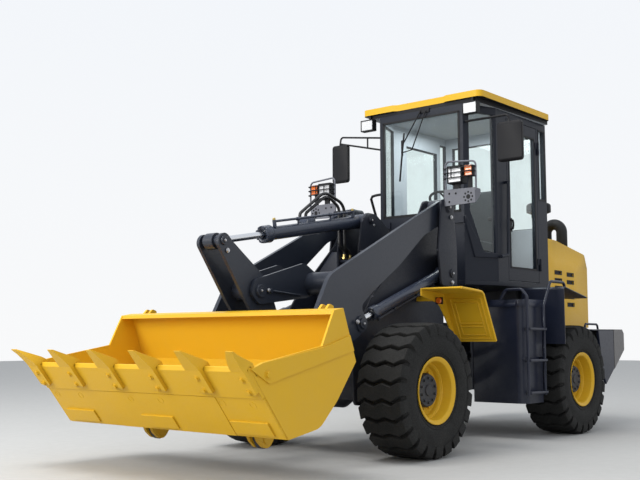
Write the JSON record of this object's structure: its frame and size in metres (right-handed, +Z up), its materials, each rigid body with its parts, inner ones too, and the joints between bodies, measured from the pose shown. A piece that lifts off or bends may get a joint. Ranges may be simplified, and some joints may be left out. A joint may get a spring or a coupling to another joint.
{
  "type": "wheel loader",
  "caption": "Articulated wheel loader with a toothed bucket rolled back on a Z-bar linkage, closed cab, ladders, mirrors and a rear-hinged engine hood",
  "frame": {"origin": "on the ground under the middle of the machine's box, wheels standing on Z = 0", "axes": "+X to the bucket, +Y to the driver's left, +Z up"},
  "size_m": [6.2005, 2.188, 3.1469],
  "materials": {
    "painted_yellow": "gloss paint, lightly dusty",
    "painted_navy": "satin paint",
    "frame_dark": "satin paint, dusty",
    "machinery_grey": "satin paint",
    "cast_hub": "painted casting",
    "tyre_rubber": "worn, dusty",
    "cab_dark": "satin paint",
    "glass_tint": "lightly green",
    "black_plastic": "matt",
    "lamp_lens": "clear lens in a dark box",
    "rod_chrome": "ground rod",
    "barrel_dark": "gloss paint",
    "exhaust_black": "heat-proof paint"
  },
  "bodies": {
    "rear_frame": {"rear_chassis": "frame_dark", "hinge_fork": "frame_dark", "rear_axle": "frame_dark", "engine_block": "machinery_grey", "counterweight": "painted_navy", "side_tanks": "painted_navy", "ladders": "painted_navy", "rear_fenders": "painted_navy", "cab_base": "cab_dark", "cab_left_side": "cab_dark", "cab_right_side": "cab_dark", "cab_front": "cab_dark", "cab_rear": "cab_dark", "cab_roof": "painted_yellow", "cab_glass": "glass_tint", "seat": "black_plastic", "steering_column": "black_plastic", "mirrors": "black_plastic", "work_lamps": "lamp_lens"},
    "hood_lid": {"hood": "painted_yellow", "exhaust_stack": "exhaust_black", "air_precleaner": "black_plastic"},
    "door": {"cab_door": "cab_dark", "door_glass": "glass_tint"},
    "front_frame": {"front_chassis": "frame_dark", "tower_cheeks": "frame_dark", "tilt_pedestal": "frame_dark", "front_axle": "frame_dark", "front_fenders": "painted_yellow", "lamp_brackets": "machinery_grey", "headlamps": "lamp_lens"},
    "wheel_front_left": {"tyre_front_left": "tyre_rubber", "rim_front_left": "painted_yellow", "hub_front_left": "cast_hub"},
    "wheel_front_right": {"tyre_front_right": "tyre_rubber", "rim_front_right": "painted_yellow", "hub_front_right": "cast_hub"},
    "wheel_rear_left": {"tyre_rear_left": "tyre_rubber", "rim_rear_left": "painted_yellow", "hub_rear_left": "cast_hub"},
    "wheel_rear_right": {"tyre_rear_right": "tyre_rubber", "rim_rear_right": "painted_yellow", "hub_rear_right": "cast_hub"},
    "boom_body": {"boom": "frame_dark"},
    "bellcrank_body": {"bellcrank": "frame_dark"},
    "link_body": {"bucket_link": "frame_dark"},
    "bucket": {"bucket_shell": "painted_yellow", "cutting_edge": "painted_yellow", "bucket_teeth": "painted_yellow"},
    "tilt_cylinder": {"tilt_barrel": "barrel_dark", "tilt_hoses": "black_plastic"},
    "tilt_plunger": {"tilt_rod": "rod_chrome"},
    "lift_cylinder_left": {"lift_barrel_left": "barrel_dark"},
    "lift_plunger_left": {"lift_rod_left": "rod_chrome"},
    "steer_cylinder_left": {"steer_barrel_left": "frame_dark"},
    "steer_plunger_left": {"steer_rod_left": "rod_chrome"},
    "lift_cylinder_right": {"lift_barrel_right": "barrel_dark"},
    "lift_plunger_right": {"lift_rod_right": "rod_chrome"},
    "steer_cylinder_right": {"steer_barrel_right": "frame_dark"},
    "steer_plunger_right": {"steer_rod_right": "rod_chrome"}
  },
  "joints": [
    {"name": "articulation", "type": "hinge", "parent": "rear_frame", "child": "front_frame", "pos_m": [-0.46, 0, 0.74], "axis": [0, 0, 1], "range_deg": [-35, 35]},
    {"name": "wheel_front_left_spin", "type": "hinge", "parent": "front_frame", "child": "wheel_front_left", "pos_m": [0.8025, 0.8075, 0.513], "axis": [0, 1, 0], "continuous": true},
    {"name": "wheel_front_right_spin", "type": "hinge", "parent": "front_frame", "child": "wheel_front_right", "pos_m": [0.8025, -0.8075, 0.513], "axis": [0, 1, 0], "continuous": true},
    {"name": "wheel_rear_left_spin", "type": "hinge", "parent": "rear_frame", "child": "wheel_rear_left", "pos_m": [-1.7225, 0.8075, 0.513], "axis": [0, 1, 0], "continuous": true},
    {"name": "wheel_rear_right_spin", "type": "hinge", "parent": "rear_frame", "child": "wheel_rear_right", "pos_m": [-1.7225, -0.8075, 0.513], "axis": [0, 1, 0], "continuous": true},
    {"name": "boom_lift", "type": "hinge", "parent": "front_frame", "child": "boom_body", "pos_m": [-0.02, 0, 2.025], "axis": [0, -1, 0], "range_deg": [-1.5, 70]},
    {"name": "bucket_tilt", "type": "hinge", "parent": "boom_body", "child": "bucket", "pos_m": [2.23, 0, 0.24], "axis": [0, 1, 0], "range_deg": [0, 97]},
    {"name": "bellcrank_swing", "type": "hinge", "parent": "boom_body", "child": "bellcrank_body", "pos_m": [1.844, 0, 1.256], "axis": [0, -1, 0], "range_deg": [0, 34]},
    {"name": "link_swing", "type": "hinge", "parent": "bellcrank_body", "child": "link_body", "pos_m": [1.556, 0, 0.782], "axis": [0, -1, 0], "range_deg": [-23, 0]},
    {"name": "tilt_cylinder_swing", "type": "hinge", "parent": "front_frame", "child": "tilt_cylinder", "pos_m": [0.461, 0, 1.906], "axis": [0, -1, 0], "range_deg": [-2, 83]},
    {"name": "tilt_rod_stroke", "type": "slide", "parent": "tilt_cylinder", "child": "tilt_plunger", "axis": [0.9852, 0, -0.1715], "range_m": [-0.28, 0]},
    {"name": "lift_cylinder_left_swing", "type": "hinge", "parent": "front_frame", "child": "lift_cylinder_left", "pos_m": [-0.06, 0.48, 1.458], "axis": [0, -1, 0], "range_deg": [-2, 66]},
    {"name": "lift_rod_left_stroke", "type": "slide", "parent": "lift_cylinder_left", "child": "lift_plunger_left", "axis": [0.9402, 0, -0.3405], "range_m": [-0.015, 0.65]},
    {"name": "lift_cylinder_right_swing", "type": "hinge", "parent": "front_frame", "child": "lift_cylinder_right", "pos_m": [-0.06, -0.48, 1.458], "axis": [0, -1, 0], "range_deg": [-2, 66]},
    {"name": "lift_rod_right_stroke", "type": "slide", "parent": "lift_cylinder_right", "child": "lift_plunger_right", "axis": [0.9402, 0, -0.3405], "range_m": [-0.015, 0.65]},
    {"name": "steer_cylinder_left_swing", "type": "hinge", "parent": "rear_frame", "child": "steer_cylinder_left", "pos_m": [-1.08, 0.19, 0.74], "axis": [0, 0, 1], "range_deg": [-12, 12]},
    {"name": "steer_rod_left_stroke", "type": "slide", "parent": "steer_cylinder_left", "child": "steer_plunger_left", "axis": [0.9917, 0.1288, 0], "range_m": [-0.2, 0.2]},
    {"name": "steer_cylinder_right_swing", "type": "hinge", "parent": "rear_frame", "child": "steer_cylinder_right", "pos_m": [-1.08, -0.19, 0.74], "axis": [0, 0, 1], "range_deg": [-12, 12]},
    {"name": "steer_rod_right_stroke", "type": "slide", "parent": "steer_cylinder_right", "child": "steer_plunger_right", "axis": [0.9917, -0.1288, 0], "range_m": [-0.2, 0.2]},
    {"name": "door_open", "type": "hinge", "parent": "rear_frame", "child": "door", "pos_m": [-1.675, 0.611, 2.2], "axis": [0, 0, 1], "range_deg": [0, 100]},
    {"name": "hood_open", "type": "hinge", "parent": "rear_frame", "child": "hood_lid", "pos_m": [-2.94, 0, 1.04], "axis": [0, -1, 0], "range_deg": [0, 55]}
  ],
  "couplings": [
    {"joint": "bellcrank_swing", "follows": "bucket_tilt", "ratio": 0.3397},
    {"joint": "link_swing", "follows": "bucket_tilt", "ratio": -0.226},
    {"joint": "tilt_cylinder_swing", "follows": "boom_lift", "ratio": 1.169},
    {"joint": "tilt_rod_stroke", "follows": "bucket_tilt", "m_per_rad": -0.16},
    {"joint": "lift_cylinder_left_swing", "follows": "boom_lift", "ratio": 0.932},
    {"joint": "lift_rod_left_stroke", "follows": "boom_lift", "m_per_rad": 0.529},
    {"joint": "lift_cylinder_right_swing", "follows": "boom_lift", "ratio": 0.932},
    {"joint": "lift_rod_right_stroke", "follows": "boom_lift", "m_per_rad": 0.529},
    {"joint": "steer_cylinder_left_swing", "follows": "articulation", "ratio": 0.2279},
    {"joint": "steer_rod_left_stroke", "follows": "articulation", "m_per_rad": -0.2633},
    {"joint": "steer_cylinder_right_swing", "follows": "articulation", "ratio": 0.2279},
    {"joint": "steer_rod_right_stroke", "follows": "articulation", "m_per_rad": 0.2633}
  ]
}
